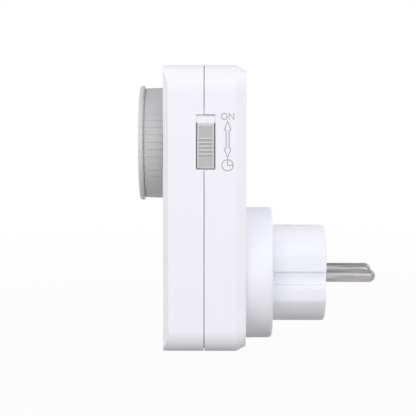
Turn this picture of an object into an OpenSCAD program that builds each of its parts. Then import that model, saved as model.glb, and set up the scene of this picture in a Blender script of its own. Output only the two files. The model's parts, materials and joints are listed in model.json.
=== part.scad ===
// Plug-in mechanical timer switch.
// Millimetres. +Z is up, the dial faces -Y and the plug pins point to +Y.
// The origin is the centre of the plug's end face, so the plug's axis is the Y axis.

/* [Housing] */
// Width of the housing across the dial
housing_w = 60; // [54:1:72]
// Height of the housing above the plug's axis
housing_rise = 79.8; // [78:0.1:90]
// Depth of the housing below the plug's axis
housing_drop = 26.8; // [26:0.1:34]
// Depth of the front cover
front_depth = 15.2; // [14.8:0.2:18]
// Depth of the rear cover
rear_depth = 15.5; // [15:0.5:22]
// Wall of both covers
wall = 2; // [1.6:0.1:2.4]
// Radius of the housing's corners
corner_r = 9; // [6:0.5:10]
// Width of the bevel along the long front edges
bevel_w = 3.2; // [1:0.2:4]
// Depth of the bevel along the long front edges
bevel_depth = 2; // [1:0.2:3]
// Width of the chamfer round the rear face
chamfer_w = 1.9; // [0.5:0.1:2]
// Depth of the chamfer round the rear face
chamfer_depth = 3.6; // [1:0.2:4]
// Width of the groove between the two covers
seam = 0.4; // [0.2:0.1:0.8]

/* [Plug] */
// Radius of the plug body
plug_r = 18.5; // [18:0.1:19]
// Length of the plug body
plug_len = 20.2; // [19:0.2:24]
// Distance from the plug's axis to its side flats
plug_flat = 16.5; // [16:0.1:17]
// Radius of the collar behind the plug
collar_r = 25.2; // [24.4:0.1:26]
// Length of the collar
collar_len = 10.3; // [8:0.1:14]
// Width of the guide groove in each side flat
groove_w = 5; // [4.6:0.1:5.6]
// Depth of the guide groove
groove_depth = 1.9; // [1.5:0.1:2.2]
// Radius of a plug pin
pin_r = 2.4; // [2:0.05:2.45]
// Free length of a plug pin
pin_len = 19; // [17:0.5:20]
// Distance between the two pins' axes
pin_pitch = 19; // [18.6:0.1:19.4]

/* [Socket] */
// Radius of the socket's well
well_r = 19.75; // [19.5:0.05:20]
// Depth of the socket's well
well_depth = 17.5; // [16.5:0.1:18]
// Radius of each pin hole in the well's floor
hole_r = 2.7; // [2.6:0.05:3]
// Travel of the shutter behind the floor
shutter_travel = 6.4; // [6.2:0.1:6.6]

/* [Dial] */
// Height of the dial's axis above the plug's axis
dial_rise = 50.1; // [49.6:0.1:51]
// Number of segments round the dial
segments = 48; // [24:24:48]
// Outer radius of the ring of segments
dial_r = 21; // [20.6:0.1:21.4]
// Radius of the lip on the segments' heads
lip_r = 21.95; // [21.6:0.05:22.4]
// Length of the dial in front of the housing
dial_out = 9.4; // [8.4:0.2:11]
// Thickness of the segments' heads
head_t = 1.9; // [1.4:0.1:2.4]
// Travel of a segment between off and on
tappet_travel = 2.8; // [2.4:0.1:3]
// Gap between two neighbouring segments
tappet_gap = 0.18; // [0.14:0.01:0.4]

/* [Gears] */
// Module of all gears
gear_module = 0.5; // [0.48:0.01:0.51]
// Teeth on the dial's gear
dial_teeth = 44; // [40:2:44]
// Teeth on the idler's wheel
wheel_teeth = 42; // [36:2:42]
// Teeth on the idler's pinion and on the motor's pinion
pinion_teeth = 12; // [12:1:12]
// Radius of the stud that carries the dial
stud_r = 3; // [2.5:0.1:3.2]
// Radial gap of a wheel on its stud
run_gap = 0.05; // [0.02:0.01:0.08]

/* [Switch] */
// Length of the slide switch's recess
slot_len = 20.1; // [20:0.1:21]
// Width of the slide switch's recess
slot_w = 7.1; // [6.6:0.1:8]
// Height of the recess's centre above the plug's axis
slot_rise = 52; // [48:0.1:56]
// Length of the slide switch's knob
knob_len = 16.35; // [16:0.05:16.4]
// Travel of the slide switch
slide_travel = 3; // [2.4:0.1:3]
// Swing of the trip lever in degrees
lever_swing = 5; // [4:0.5:5.5]

/* [Hidden] */
$fn = 64;
eps = 0.02;
gap = 0.2;

// planes along Y, from the plug's end face forward to the dial
collar_y = -plug_len;
rear_y = collar_y - collar_len;
part_y = rear_y - rear_depth;
front_y = part_y - front_depth;
front_in_y = front_y + wall;
rear_in_y = rear_y - wall;
bottom_z = -housing_drop;
inner_top_z = housing_rise - wall;

// cover joint
lip_h = 1.2;
lip_gap = 0.1;
post_r = 3.2;
screw_r = 1.45;
screw_head_r = 2.75;
screw_head_h = 2;
screw_seat = 3.5;
screw_len = 20;
screw_hole_len = 11;
screw_fit = 0.25;
slot_t = 0.7;
slot_depth = 1;
post_in = 6.5;
screws_at = [
    for (side = [-1, 1], z = [bottom_z + post_in, housing_rise - post_in])
        [side * (housing_w / 2 - post_in), z]
];

// small screws
small_r = 1;
small_head_r = 2.1;
small_head_h = 1.3;
small_len = 6;
small_fit = 0.05;

// plug
plug_wall = 2;
end_wall = 3;
spigot_r = min(collar_r - 1.2, housing_drop - chamfer_w - 0.9);
spigot_in_r = spigot_r - 1.4;
shank_r = 1.9;
shank_len = 13.3;
relief_r = 3.3;
relief_depth = 0.6;
pin_x = pin_pitch / 2;
plug_cavity_x = plug_flat - groove_depth - plug_wall;
earth_w = 5.6;
earth_floor = plug_r - 2.1;
earth_slot_len = 15;
earth_t = 0.8;
boss_r = 4.6;
rib_t = 1.4;
rib_end = 6;
lug_w = 5;
lug_t = 1.5;
lug_hook = 1;
lug_arm_t = 0.9;
lug_play = 0.05;
collar_edge = 1.3;
plug_edge = 1;
bar_hole_r = 1.45;
rivet_r = 2.2;
neutral_foot_gap = 0.1;
live_foot_gap = 0.6;
rivet_h = 0.7;
clip_w = 5;
clip_reach = 1.6;
clip_run = [2, 6, 8];

// socket
well_wall = 1.5;
well_out_r = well_r + well_wall;
floor_y = front_y + well_depth;
floor_t = 2;
floor_back_y = floor_y + floor_t;
chamber = 1.8;
carrier_y = floor_back_y + chamber;
carrier_t = 3;
carrier_back_y = carrier_y + carrier_t;
seat_t = 1.5;
seat_r = well_out_r + 1.8;
rib_w = groove_w - 0.5;
rib_x = plug_flat - groove_depth + 0.6;
pocket_w = 6.6;
pocket_top = well_out_r + 0.85;
pocket_wall = 1.2;
pocket_y = front_y + 4.5;
shutter_t = 1.5;
shutter_w = pin_pitch + 8;
shutter_h = 7;
shutter_room = shutter_h / 2 + shutter_travel + 4.9;
tulip_r = 3;
tulip_len = 12.5;
tulip_rim_r = 3.7;
tulip_rim_t = 0.8;
tulip_slit = 0.8;
tail_in = 0.5;
tail_w = 4;
bar_t = 0.8;
bar_w = 5;
guard_w = 2.6;
guard_h = 1.2;
guard_len = 2.1;
spring_r = 1.2;
spring_wire_r = 0.25;
spring_rest = 4.4;

// movement plate and dial train
plate_t = 1.5;
plate_y = front_y + 8.7;
plate_back_y = plate_y + plate_t;
drum_r = dial_r - 1.9;
shell_in_r = drum_r + 0.3;
guide_w = 1.2;
guide_in_r = drum_r - 0.85;
guide_floor_r = drum_r - 1;
guide_gap = 0.15;
shell_back = 0.35;
lip_slope = 0.5;
lip_taper = 0.2;
lip_edge = 0.4;
foot_back = -3.4;
opening_r = dial_r + 0.5;
hub_r = 5;
drum_back = -2.9;
gear_t = 1.8;
gear_back = drum_back - gear_t;
mesh_dial = gear_module * (dial_teeth + pinion_teeth) / 2;
mesh_motor = gear_module * (wheel_teeth + pinion_teeth) / 2;
idler_angle = 135;
motor_angle = -90;
idler_x = mesh_dial * cos(idler_angle);
idler_z = dial_rise + mesh_dial * sin(idler_angle);
motor_x = idler_x + mesh_motor * cos(motor_angle);
motor_z = idler_z + mesh_motor * sin(motor_angle);
idler_phase = mesh_phase(dial_teeth, pinion_teeth, idler_angle, 0);
motor_phase = mesh_phase(wheel_teeth, pinion_teeth, motor_angle, idler_phase);
wheel_front = -6.8;
wheel_t = 1.4;
idler_stud_r = 1.2;
stud_head_t = 0.8;
post_x = housing_w / 2 - 7;
plate_posts = [[-post_x, dial_rise - opening_r + 1.2], [post_x, dial_rise - opening_r + 1.2],
               [0, dial_rise + opening_r + 3.9]];
plate_post_r = 2.2;
ear_w = 1.4;
ear_h = 3.8;
ear_over = 0.8;
plate_side = 2;
plate_low = 23.6;
plate_step = 5;
spoke_w = 1.2;
clip_z = 6.65;
clip_t = 0.6;
clip_out = 1.6;
face_t = 0.6;
cap_r = stud_r + 3.3;
cap_z = 7.75;
cap_down = 0.5;

// motor
can_r = 15;
can_y = plate_back_y + 1;
can_len = 10;
motor_ear = can_r + 2.6;
motor_shaft_r = 1;
motor_front_t = 0.8;
motor_ear_r = 2.6;
motor_pad_r = 2.4;

// slide switch, lever and contacts
side_x = housing_w / 2;
slot_y = part_y + 0.57;
slot_bottom = slot_rise - slot_len / 2;
recess = 0.7;
trough_depth = 2.4;
trough_end = 0.35;
pad_t = 1;
pad_side = 1.2;
pad_end = 2;
pad_in_x = side_x - wall - pad_t;
knob_gap = 0.5;
knob_out = 0.3;
knob_z = slot_bottom + 0.6;
grip_pitch = 1.4;
stem_w = 3.6;
stem_z = [knob_z + 4.9, knob_z + 11.9];
carriage_t = 1.4;
nose_radius = dial_r - 0.8;
lever_w = 4;
lever_x = [nose_radius - lever_w / 2 + 0.1, nose_radius + lever_w / 2 + 0.1];
lever_front_y = plate_back_y + 2.4;
lever_t = 2;
pivot_drop = 12.1;
lever_pivot_z = dial_rise - pivot_drop;
lever_pivot_y = lever_front_y + lever_t / 2;
lever_pin_r = 1;
nose_angle = 180 / segments;
nose_z = dial_rise + nose_radius * sin(nose_angle);
nose_tip_y = front_y - foot_back + tappet_travel - 1;
leaf_t = 0.4;
leaf_y = lever_front_y + lever_t + 2;
leaf_root_z = lever_pivot_z - 4;
contact_rise = 20.5;
contact_z = lever_pivot_z + contact_rise;
wedge_place = 18;
wedge_z = lever_pivot_z + wedge_place;
wedge_h = 2.2;
wedge_rise = 2.8;
wedge_gap = 0.35;
carriage_in = plate_back_y + 0.4;
carriage_out = slot_y + 4;
carriage_low = 4;
carriage_high = 3;
lever_foot = 2;
lever_head = 23;
cam_in = 1.9;
cam_edge = 1.2;
cam_h = 1.1;
drive_out = 1.7;
drive_h = 1.2;
nose_w = 1.4;
nose_h = 0.8;
nose_root_h = 4;
nose_taper = 1.4;
nose_len = 3;
lever_pin_over = 1.8;
leaf_end = 2;
rivet_pin_r = 0.8;
load_drop = 24;
drop_z = dial_rise - load_drop;
load_low = 9.5;
load_gap = 0.4;
contact_gap = (contact_z - lever_pivot_z) * sin(lever_swing) - 0.04;
button_r = 1.5;
button_t = 0.6;
fixed_y = leaf_y + leaf_t + 2 * button_t + contact_gap;
riser_y = rear_in_y - 0.8;
rest_drops = [24.1, 6.1];
rests_z = [for (drop = rest_drops) dial_rise - drop];
rest_t = 1.5;
rest_w = 3;

// ---------- functions ----------

function tappet_name(k) = str("tappet_", k < 10 ? "0" : "", k);

// Angle of the first tooth of gear b that meshes with gear a in the given direction.
function mesh_phase(teeth_a, teeth_b, direction, phase_a) =
    direction + 180 - (phase_a - direction) * teeth_a / teeth_b + 180 / teeth_b;

// Outline of a spur gear: four points a tooth, with slim tops for backlash.
function gear_points(teeth, phase) = [
    for (k = [0:teeth - 1], side = [[-0.27, -1.2], [-0.12, 0.9], [0.12, 0.9], [0.27, -1.2]])
        let (a = phase + (k + side[0]) * 360 / teeth,
             r = gear_module * (teeth / 2 + side[1]))
            [r * cos(a), r * sin(a)]
];

// ---------- placing helpers ----------

// Extrudes a shape drawn in the XZ plane from y0 to y1.
module slab(y0, y1) {
    translate([0, y1, 0]) rotate([90, 0, 0]) linear_extrude(y1 - y0) children();
}

// A disc round an axis along Y.
module disc(r, y0, y1, at = [0, 0]) {
    translate([at[0], y1, at[1]]) rotate([90, 0, 0]) cylinder(r = r, h = y1 - y0);
}

// A cone frustum round an axis along Y, from radius r0 at y0 to r1 at y1.
module cone(r0, r1, y0, y1, at = [0, 0]) {
    translate([at[0], y1, at[1]]) rotate([90, 0, 0]) cylinder(r1 = r1, r2 = r0, h = y1 - y0);
}

// A box from its two opposite corners.
module block(a, b) {
    translate(a) cube(b - a);
}

// Local frame on the front face at the dial's axis, with +Z out of the front.
module on_dial() {
    translate([0, front_y, dial_rise]) rotate([90, 0, 0]) children();
}

// Extrudes a shape drawn in the YZ plane from x0 to x1.
module side_slab(x0, x1) {
    translate([x0, 0, 0]) rotate([90, 0, 90]) linear_extrude(x1 - x0) children();
}

// ---------- housing ----------

// Rounded outline of the housing, seen from the front, moved inward by inset.
module outline(inset) {
    r = corner_r - inset;
    x = housing_w / 2 - corner_r;
    top = housing_rise - corner_r;
    low = bottom_z + corner_r;
    translate([-x - r, low]) square([2 * (x + r), top - low]);
    translate([-x, low - r]) square([2 * x, top - low + 2 * r]);
    for (cx = [-x, x], cz = [low, top]) translate([cx, cz]) circle(r);
}

// Edge section of the rear cover: radius against length, with the rear chamfer.
module rear_edge_section(run) {
    polygon([[0, -rear_y], [run - chamfer_w, -rear_y], [run, chamfer_depth - rear_y],
             [run, -part_y - seam / 2], [0, -part_y - seam / 2]]);
}

// The rear cover's solid block with its chamfer carried round the corners.
module rear_block() {
    x = housing_w / 2 - corner_r;
    top = housing_rise - corner_r;
    low = bottom_z + corner_r;
    rotate([90, 0, 0]) {
        for (c = [[x, top, 0], [-x, top, 90], [-x, low, 180], [x, low, 270]])
            translate([c[0], c[1], 0]) rotate([0, 0, c[2]])
                rotate_extrude(angle = 90) rear_edge_section(corner_r);
        for (side = [[x, low, 0, top - low], [-x, top, 180, top - low],
                     [x, top, 90, 2 * x], [-x, low, 270, 2 * x]])
            translate([side[0], side[1], 0]) rotate([90, 0, side[2]])
                mirror([0, 0, 1]) linear_extrude(side[3]) rear_edge_section(corner_r);
        translate([-x, low, -rear_y])
            cube([2 * x, top - low, rear_y - part_y - seam / 2]);
    }
}

// Bevel cut along one long front edge of the housing.
module edge_bevel(side) {
    x = housing_w / 2;
    linear_extrude(2 * (housing_rise + housing_drop), center = true)
        polygon([[side * x, front_y + bevel_depth], [side * (x + 5), front_y + bevel_depth],
                 [side * (x + 5), front_y - 5], [side * (x - bevel_w), front_y - 5],
                 [side * (x - bevel_w), front_y]]);
}

// Recess and stem slot of the slide switch, cut through the side wall.
module switch_recess() {
    half = slot_w / 2;
    top = slot_bottom + slot_len;
    block([side_x - recess, slot_y - half, slot_bottom], [side_x + 1, slot_y + half, top]);
    for (y = [slot_y - half, slot_y + half - knob_gap])
        block([side_x - trough_depth, y, slot_bottom], [side_x, y + knob_gap, knob_z + knob_len]);
    block([side_x - trough_depth, slot_y - half, slot_bottom], [side_x, slot_y + half, knob_z]);
    block([side_x - trough_depth, slot_y - half, top - trough_end], [side_x, slot_y + half, top]);
    block([pad_in_x - 1, slot_y - stem_w / 2 - gap, stem_z[0] - gap],
          [side_x, slot_y + stem_w / 2 + gap, stem_z[1] + slide_travel + gap]);
}

// Thickened pad inside the side wall that guides the switch carriage.
module switch_pad() {
    block([pad_in_x, slot_y - slot_w / 2 - pad_side, slot_bottom - pad_end],
          [side_x - recess, slot_y + slot_w / 2 + pad_side, slot_bottom + slot_len + pad_end]);
}

module front_cover() color("ghostwhite") {
    difference() {
        union() {
            difference() {
                slab(front_y, part_y - seam / 2) outline(0);
                slab(front_in_y, part_y) outline(wall);
            }
            slab(part_y - seam, part_y + lip_h) difference() {
                outline(wall / 2 + lip_gap);
                outline(wall);
            }
            intersection() {
                switch_pad();
                block([0, front_y, 0], [side_x, part_y + lip_h, housing_rise]);
            }
            for (p = screws_at) disc(post_r, front_in_y - eps, part_y - gap / 2, p);
            for (p = plate_posts) disc(plate_post_r, front_in_y - eps, plate_y, p);
            on_dial() translate([0, 0, -wall - 1]) cylinder(r = opening_r + 1.2, h = wall);
        }
        for (side = [-1, 1]) edge_bevel(side);
        on_dial() translate([0, 0, -2 * wall]) cylinder(r = opening_r, h = 3 * wall);
        disc(well_out_r + lip_gap, front_y - 1, front_in_y + 1);
        for (p = screws_at)
            disc(screw_r + small_fit, part_y - screw_hole_len, part_y + lip_h + 1, p);
        for (p = plate_posts)
            disc(small_r + small_fit, plate_back_y - small_len - gap, plate_y + 1, p);
        switch_recess();
    }
}

// Turned solid with a rounded rim at its +Y end.
module round_ended(r, y0, y1, edge) {
    rotate([-90, 0, 0]) rotate_extrude() {
        translate([0, y0]) square([r, y1 - edge - y0]);
        translate([0, y0]) square([r - edge, y1 - y0]);
        translate([r - edge, y1 - edge]) circle(edge);
    }
}

module plug_outside() {
    round_ended(collar_r, rear_y, collar_y, collar_edge);
    disc(spigot_r, rear_in_y, rear_y + eps);
    difference() {
        intersection() {
            round_ended(plug_r, collar_y - 1, 0, plug_edge);
            block([-plug_flat, collar_y - 1, -plug_r], [plug_flat, 0, plug_r]);
        }
        for (side = [-1, 1])
            translate([side * (plug_flat - groove_depth / 2), 0, 0])
                cube([groove_depth + eps, 2 * plug_len, groove_w], center = true);
    }
}

module plug_inside() {
    disc(spigot_in_r, rear_in_y - 1, collar_y - plug_wall);
    intersection() {
        disc(plug_r - plug_wall, collar_y - plug_wall - 1, -end_wall);
        block([-plug_cavity_x, collar_y - 5, 1.8 - earth_floor],
              [plug_cavity_x, 0, earth_floor - 1.8]);
    }
}

// Slots that carry the earth contacts, tunnelling back into the collar.
module earth_slots() {
    for (side = [-1, 1]) scale([1, 1, side]) {
        block([-earth_w / 2, -earth_slot_len, earth_floor], [earth_w / 2, 1, plug_r + 1]);
        block([-earth_w / 2, collar_y - plug_wall - 1, earth_floor],
              [earth_w / 2, -earth_slot_len + eps, earth_floor + earth_t + gap]);
    }
}

module rear_cover() color("ghostwhite") {
    difference() {
        union() {
            difference() {
                rear_block();
                slab(part_y - 1, rear_in_y) outline(wall);
                slab(part_y - 1, part_y + lip_h) outline(wall / 2);
            }
            for (p = screws_at) disc(post_r, part_y + gap / 2, rear_in_y + eps, p);
            bar_rests();
            intersection() {
                switch_pad();
                block([0, part_y + lip_h, 0], [side_x, rear_y, housing_rise]);
            }
        }
        for (p = screws_at) {
            disc(screw_r + screw_fit, part_y - 1, rear_y + 1, p);
            disc(screw_head_r + screw_fit, rear_y - screw_seat, rear_y + 1, p);
        }
        disc(spigot_r + lip_gap, rear_in_y - 1, rear_y + 1);
        block([pad_in_x - 1, part_y - 1, slot_bottom - pad_end - lip_gap],
              [side_x - recess, part_y + lip_h, slot_bottom + slot_len + pad_end + lip_gap]);
        switch_recess();
    }
}

// Plug and collar, moulded as one piece that snaps into the rear cover.
module plug_body() color("ghostwhite") {
    difference() {
        union() {
            difference() {
                plug_outside();
                plug_inside();
            }
            for (side = [-1, 1]) disc(boss_r, -shank_len, -end_wall + eps, [side * pin_x, 0]);
            for (a = [-12, 12, 168, 192]) rotate([0, -a, 0])
                block([well_out_r - seat_t - gap, carrier_back_y, -rib_t / 2],
                      [spigot_in_r + eps, collar_y - rib_end, rib_t / 2]);
            for (a = [0, 130, 180, 230, 310]) rotate([0, -a, 0]) snap_lug();
        }
        for (side = [-1, 1]) {
            disc(shank_r, -shank_len - 1, 1, [side * pin_x, 0]);
            disc(relief_r, -relief_depth, 1, [side * pin_x, 0]);
        }
        earth_slots();
    }
}

// Hook that holds the plug body behind the rear cover's wall.
module snap_lug() {
    reach = spigot_r + lug_hook;
    lug_y = rear_in_y - lug_play;
    block([spigot_in_r, lug_y - lug_t, -lug_w / 2], [reach, lug_y, lug_w / 2]);
    block([spigot_in_r, lug_y - lug_t, -lug_w / 2], [spigot_in_r + lug_arm_t, rear_y, lug_w / 2]);
}

// Ribs that hold the live bar off the rear wall.
module bar_rests() {
    for (z = rests_z)
        block([pin_x - rest_w / 2, riser_y, z], [pin_x + rest_w / 2, rear_in_y + eps, z + rest_t]);
}

module housing_screws() color("silver") {
    seat_y = rear_y - screw_seat;
    for (p = screws_at) difference() {
        union() {
            disc(screw_head_r, seat_y, seat_y + screw_head_h, p);
            disc(screw_r, seat_y - screw_len, seat_y + eps, p);
        }
        translate([p[0], seat_y + screw_head_h, p[1]])
            for (a = [0, 90]) rotate([0, a, 0])
                cube([2 * screw_r, 2 * slot_depth, slot_t], center = true);
    }
}

// ---------- plug pins and earth ----------

module plug_pin(side) {
    at = [side * pin_x, 0];
    disc(shank_r, -shank_len, -relief_depth + eps, at);
    disc(pin_r, -relief_depth, pin_len - pin_r, at);
    translate([side * pin_x, pin_len - pin_r, 0]) sphere(pin_r);
    disc(bar_hole_r, -shank_len - bar_t, -shank_len + eps, at);
    disc(rivet_r, -shank_len - bar_t - rivet_h, -shank_len - bar_t, at);
}

module live_pin() color("silver") plug_pin(1);
module neutral_pin() color("silver") plug_pin(-1);

// Bent strip from the socket's two earth clips to the plug's two earth contacts.
module earth_strap() color("gold") {
    spine_y = carrier_back_y + 0.3;
    out_z = pocket_top - 0.4 - earth_t;
    tip_z = well_r - clip_reach;
    root = floor_y - clip_run[0];
    block([-clip_w / 2, spine_y, -out_z - earth_t], [clip_w / 2, spine_y + earth_t, out_z + earth_t]);
    for (side = [-1, 1]) scale([1, 1, side]) {
        block([-clip_w / 2, root, out_z], [clip_w / 2, spine_y + eps, out_z + earth_t]);
        side_slab(-clip_w / 2, clip_w / 2)
            polygon([[root, out_z], [floor_y - clip_run[1], tip_z], [floor_y - clip_run[2], tip_z],
                     [pocket_y + 1, out_z - earth_t / 2], [pocket_y + 1, out_z + earth_t / 2],
                     [floor_y - clip_run[2], tip_z + earth_t], [floor_y - clip_run[1], tip_z + earth_t],
                     [root, out_z + earth_t]]);
        block([-clip_w / 2, spine_y, earth_floor + eps],
              [clip_w / 2, -plug_edge, earth_floor + earth_t]);
    }
}

// ---------- socket ----------

module socket_insert() color("ghostwhite") {
    rear = carrier_y;
    difference() {
        union() {
            difference() {
                union() {
                    disc(well_out_r, front_y, rear);
                    disc(seat_r, front_in_y, front_in_y + seat_t);
                    pocket_boxes(pocket_w / 2 + pocket_wall, pocket_top + pocket_wall,
                                 front_in_y, rear);
                }
                disc(well_r, front_y - 1, floor_y);
                cone(well_r + 0.8 + 1, well_r, front_y - 1, front_y + 0.8);
                disc(well_r - 1, floor_back_y, rear + 1);
                pocket_boxes(pocket_w / 2, pocket_top, pocket_y, rear + 1);
            }
            for (side = [-1, 1]) scale([side, 1, 1])
                block([rib_x, front_y + 2, -rib_w / 2], [well_r + 0.5, floor_y + eps, rib_w / 2]);
        }
        for (side = [-1, 1]) disc(hole_r, floor_y - 1, floor_back_y + 1, [side * pin_x, 0]);
    }
}

// Pair of boxes above and below the well where the earth clips lie.
module pocket_boxes(half_w, reach, y0, y1) {
    for (side = [-1, 1]) scale([1, 1, side])
        block([-half_w, y0, well_r - 2], [half_w, y1, reach]);
}

module shutter() color("white") {
    y0 = floor_back_y + (chamber - shutter_t) / 2;
    low = -shutter_h / 2;
    block([-shutter_w / 2, y0, low], [shutter_w / 2, y0 + shutter_t, shutter_h / 2]);
    block([-guard_w / 2, y0 + shutter_t - eps, low], [guard_w / 2, carrier_y + guard_len, low + guard_h]);
}

// Wire coil along -Z, as a swept tube of the given number of turns.
module coil(r, wire_r, length, turns, steps = 14, sides = 6) {
    count = turns * steps;
    points = [
        for (i = [0:count], j = [0:sides - 1])
            let (a = i * 360 / steps, b = j * 360 / sides, rr = r + wire_r * cos(b))
                [rr * cos(a), rr * sin(a), wire_r * sin(b) + i * length / count]
    ];
    ends = [[for (j = [0:sides - 1]) j], [for (j = [sides - 1:-1:0]) count * sides + j]];
    quads = [
        for (i = [0:count - 1], j = [0:sides - 1])
            let (a = i * sides + j, b = i * sides + (j + 1) % sides)
                [a, a + sides, b + sides, b]
    ];
    polyhedron(points, concat(ends, quads));
}

module shutter_spring() color("silver") {
    top = -shutter_h / 2 - spring_wire_r - 0.05;
    length = shutter_travel + spring_rest;
    translate([0, carrier_y + guard_len - spring_r - 0.15, top - length])
        coil(spring_r, spring_wire_r, length, 8);
}

module contact_carrier() color("whitesmoke") {
    trough_w = 2 * (spring_r + spring_wire_r + 0.35);
    difference() {
        disc(well_out_r, carrier_y, carrier_back_y);
        for (side = [-1, 1]) {
            disc(tulip_r + lip_gap, carrier_y - 1, carrier_back_y + 1, [side * pin_x, 0]);
            disc(tulip_rim_r + lip_gap, carrier_y - 1, carrier_y + tulip_rim_t + lip_gap, [side * pin_x, 0]);
        }
        pocket_boxes(pocket_w / 2, pocket_top + 3, carrier_y - 1, carrier_back_y + 1);
        block([-trough_w / 2, carrier_y - 1, -shutter_room], [trough_w / 2, carrier_y + guard_len + gap, 0]);
    }
}

// Slit sleeve that grips an entering pin, with a flat tail for its bar.
module tulip(side) {
    at = [side * pin_x, 0];
    y0 = carrier_y + 0.05;
    flat_x = pin_x - tulip_r;
    difference() {
        union() {
            disc(tulip_rim_r, y0, y0 + tulip_rim_t, at);
            disc(tulip_r, y0, y0 + tulip_len, at);
            scale([side, 1, 1])
                block([flat_x - tail_in, carrier_back_y + 0.3, -tail_w / 2],
                      [flat_x + tulip_r - pin_r, y0 + tulip_len, tail_w / 2]);
        }
        disc(pin_r + small_fit, y0 - 1, y0 + tulip_len + 1, at);
        block([side * pin_x - tulip_slit / 2, carrier_back_y + 1, -tulip_r - 2],
              [side * pin_x + tulip_slit / 2, y0 + tulip_len + 1, tulip_r + 2]);
    }
}

module live_socket_contact() color("gold") tulip(1);
module neutral_socket_contact() color("gold") tulip(-1);

// ---------- bars and contacts ----------

module neutral_bar() color("gold") {
    x = pin_x - tulip_r - tail_in;
    y0 = -shank_len - bar_t;
    half = bar_w / 2;
    foot_x = plug_cavity_x - neutral_foot_gap;
    difference() {
        union() {
            block([-x, carrier_back_y + tail_w, -half], [-x + bar_t, -shank_len, half]);
            block([-foot_x, y0, -half], [-x + bar_t, -shank_len, half]);
        }
        disc(bar_hole_r, y0 - 1, 0, [-pin_x, 0]);
    }
}

module live_bar() color("gold") {
    half = bar_w / 2;
    y0 = -shank_len - bar_t;
    rise_z = tulip_r + half;
    arm_y = fixed_y;
    top = contact_z + half;
    foot_x = plug_cavity_x - live_foot_gap;
    difference() {
        union() {
            block([pin_x - half, y0, -half], [foot_x, -shank_len, rise_z + bar_t]);
            block([pin_x - half, riser_y - bar_t, rise_z], [foot_x, -shank_len, rise_z + bar_t]);
            block([pin_x - half, riser_y - bar_t, rise_z], [foot_x, riser_y, top]);
            block([pin_x - half, riser_y - bar_t, contact_z - half], [lever_x[1], riser_y, top]);
            block([lever_x[0], arm_y, top - bar_t], [lever_x[1], riser_y, top]);
            block([lever_x[0], arm_y, contact_z - half], [lever_x[1], arm_y + bar_t, top]);
        }
        disc(bar_hole_r, y0 - 1, 0, [pin_x, 0]);
        disc(rivet_pin_r, arm_y - 1, arm_y + bar_t + 0.5, contact_at());
    }
}

function contact_at() = [(lever_x[0] + lever_x[1]) / 2, contact_z];

module fixed_contact() color("silver") {
    disc(button_r, fixed_y - button_t, fixed_y, contact_at());
    disc(rivet_pin_r, fixed_y - eps, fixed_y + bar_t, contact_at());
}

module contact_arm() color("gold") {
    block([lever_x[0], leaf_y, leaf_root_z], [lever_x[1], leaf_y + leaf_t, contact_z + leaf_end]);
    disc(button_r, leaf_y + leaf_t - eps, leaf_y + leaf_t + button_t, contact_at());
}

// Strip from the moving contact's root down to the live socket contact.
module load_bar() color("gold") {
    half = bar_w / 2;
    tail_x = pin_x - tulip_r - tail_in;
    low_y = carrier_back_y + load_gap;
    top = leaf_root_z - 0.05;
    mid_y = low_y + bar_t;
    block([lever_x[0], leaf_y - leaf_t, drop_z], [lever_x[1], leaf_y + leaf_t, top]);
    block([lever_x[0], leaf_y - leaf_t, drop_z], [lever_x[1], mid_y, drop_z + bar_t]);
    block([lever_x[0], low_y, load_low], [lever_x[1], mid_y, drop_z + bar_t]);
    block([tail_x - bar_t, low_y, load_low], [lever_x[1], mid_y, load_low + half]);
    block([tail_x - bar_t, low_y, -tail_w / 2], [tail_x, low_y + tail_w, load_low + half]);
}

// ---------- slide switch ----------

module switch_knob() color("lightslategray") {
    half = slot_w / 2 - knob_gap;
    face_x = side_x + knob_out;
    rim = 0.55;
    grip_z = knob_z + knob_len / 2 - 0.75;
    difference() {
        union() {
            block([side_x - recess + 0.1, slot_y - half, knob_z],
                  [face_x, slot_y + half, knob_z + knob_len]);
            block([pad_in_x - gap - carriage_t, slot_y - stem_w / 2, stem_z[0]],
                  [side_x - recess + 0.2, slot_y + stem_w / 2, stem_z[1]]);
        }
        block([face_x - 0.15, slot_y - half + rim, knob_z + 0.3],
              [face_x + 1, slot_y + half - rim, knob_z + knob_len - rim]);
        for (k = [-2:2])
            block([face_x - 0.5, slot_y - half + rim, grip_z + k * grip_pitch - 0.3],
                  [face_x + 1, slot_y + half - rim, grip_z + k * grip_pitch + 0.3]);
    }
}

module switch_carriage() color("white") {
    x1 = pad_in_x - gap;
    x0 = x1 - carriage_t;
    wedge_y = lever_front_y - wedge_gap;
    low = min(stem_z[0] - carriage_low, wedge_z - wedge_h - 1);
    high = max(stem_z[1] + carriage_high, wedge_z + 1);
    difference() {
        block([x0, carriage_in, low], [x1, carriage_out, high]);
        block([x0 - 1, slot_y - stem_w / 2, stem_z[0]], [x1 + 1, slot_y + stem_w / 2, stem_z[1]]);
    }
    side_slab(lever_x[0] + 0.3, x0 + eps)
        polygon([[carriage_in, wedge_z - wedge_h], [wedge_y, wedge_z - wedge_h], [wedge_y, wedge_z],
                 [carriage_in, wedge_z + wedge_rise]]);
}

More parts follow.
